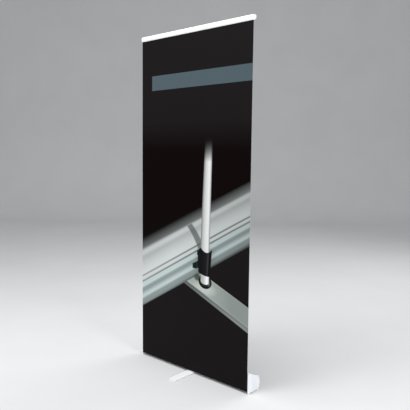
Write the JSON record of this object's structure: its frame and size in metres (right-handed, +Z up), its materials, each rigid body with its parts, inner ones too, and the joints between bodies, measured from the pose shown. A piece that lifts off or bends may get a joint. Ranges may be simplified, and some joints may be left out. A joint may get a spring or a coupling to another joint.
{
  "type": "roll-up banner stand",
  "caption": "Roll-up banner stand: printed panel drawn from a floor cassette with a spring roller, held up by a leaning telescopic pole, steadied by a swivelling foot bar.",
  "frame": {"origin": "on the floor under the foot's pivot, at the middle of the width and of the foot's length", "axes": "+X along the cassette, to the right when the print is read; -Y is the side the print faces; +Z up"},
  "size_m": [0.86, 0.414, 2],
  "materials": {
    "silver_aluminium": "satin anodised, silver",
    "rail_aluminium": "bright satin, near white",
    "white_plastic": "moulded white",
    "black_plastic": "fine textured black",
    "nylon": "natural nylon",
    "rubber": "matte black",
    "printed_film": "printed satin film",
    "steel": "zinc plated"
  },
  "bodies": {
    "cassette": {"cassette_housing": "silver_aluminium", "end_cap_left": "white_plastic", "end_cap_right": "white_plastic", "end_cap_screw_left_front": "steel", "end_cap_screw_left_top": "steel", "end_cap_screw_left_rear": "steel", "end_cap_screw_right_front": "steel", "end_cap_screw_right_top": "steel", "end_cap_screw_right_rear": "steel", "exit_glide": "nylon", "graphic_panel": "printed_film", "graphic_lead": "printed_film", "spring_mandrel": "steel", "spring_anchor": "black_plastic", "torsion_spring": "steel", "idler_pin": "steel", "foot_pivot_bolt": "steel", "foot_pivot_washer": "nylon", "foot_pivot_nut": "steel", "pole_clamp": "black_plastic", "clamp_screw_left": "steel", "clamp_screw_right": "steel"},
    "roller": {"roller_tube": "silver_aluminium", "roller_plug_drive": "black_plastic", "roller_plug_idler": "black_plastic", "graphic_roll": "printed_film"},
    "foot": {"foot_bar": "silver_aluminium", "foot_hole_ring": "black_plastic", "foot_pad_front": "rubber", "foot_pad_rear": "rubber"},
    "pole_lower": {"pole_lower_tube": "silver_aluminium", "pole_lower_plug": "black_plastic"},
    "lock_lower": {"twist_lock_lower": "black_plastic"},
    "pole_middle": {"pole_middle_tube": "silver_aluminium", "middle_tube_expander": "black_plastic"},
    "lock_upper": {"twist_lock_upper": "black_plastic"},
    "pole_upper": {"pole_upper_tube": "silver_aluminium", "upper_tube_expander": "black_plastic", "pole_tip": "black_plastic"},
    "top_rail": {"top_rail_front": "rail_aluminium", "top_rail_back": "rail_aluminium", "rail_end_cap_left": "white_plastic", "rail_end_cap_right": "white_plastic"},
    "knob": {"clamp_knob": "black_plastic"}
  },
  "joints": [
    {"name": "banner_height", "type": "slide", "parent": "cassette", "child": "top_rail", "axis": [0, 0, 1], "range_m": [-1.02, 0], "deforming": ["graphic_panel"]},
    {"name": "pole_upper_slide", "type": "slide", "parent": "cassette", "child": "pole_upper", "axis": [0, -0.0572, 0.9984], "range_m": [-1.104, 0]},
    {"name": "pole_middle_slide", "type": "slide", "parent": "cassette", "child": "pole_middle", "axis": [0, -0.0572, 0.9984], "range_m": [-0.5252, 0]},
    {"name": "roller_spin", "type": "hinge", "parent": "cassette", "child": "roller", "pos_m": [0, -0.004, 0.054], "axis": [1, 0, 0], "range_deg": [0, 3160]},
    {"name": "foot_swivel", "type": "hinge", "parent": "cassette", "child": "foot", "pos_m": [0, 0, 0.005], "axis": [0, 0, 1], "range_deg": [0, 90]},
    {"name": "pole_lower_lift", "type": "slide", "parent": "cassette", "child": "pole_lower", "axis": [0, -0.0572, 0.9984], "range_m": [0, 0.063]},
    {"name": "clamp_knob_turn", "type": "hinge", "parent": "cassette", "child": "knob", "pos_m": [0, 0.06585, 0.04793], "axis": [1, 0, 0], "range_deg": [0, 360]},
    {"name": "lower_lock_twist", "type": "hinge", "parent": "pole_lower", "child": "lock_lower", "pos_m": [0, 0.02857, 0.69832], "axis": [0, -0.0572, 0.9984], "range_deg": [0, 90]},
    {"name": "upper_lock_twist", "type": "hinge", "parent": "pole_middle", "child": "lock_upper", "pos_m": [0, -0.00768, 1.33073], "axis": [0, -0.0572, 0.9984], "range_deg": [0, 90]}
  ],
  "couplings": [
    {"joint": "pole_upper_slide", "follows": "banner_height", "ratio": 1.0818},
    {"joint": "pole_middle_slide", "follows": "banner_height", "ratio": 0.5147},
    {"joint": "roller_spin", "follows": "banner_height", "rad_per_m": -54.054},
    {"joint": "pole_lower_lift", "follows": "foot_swivel", "m_per_rad": 0.04}
  ]
}
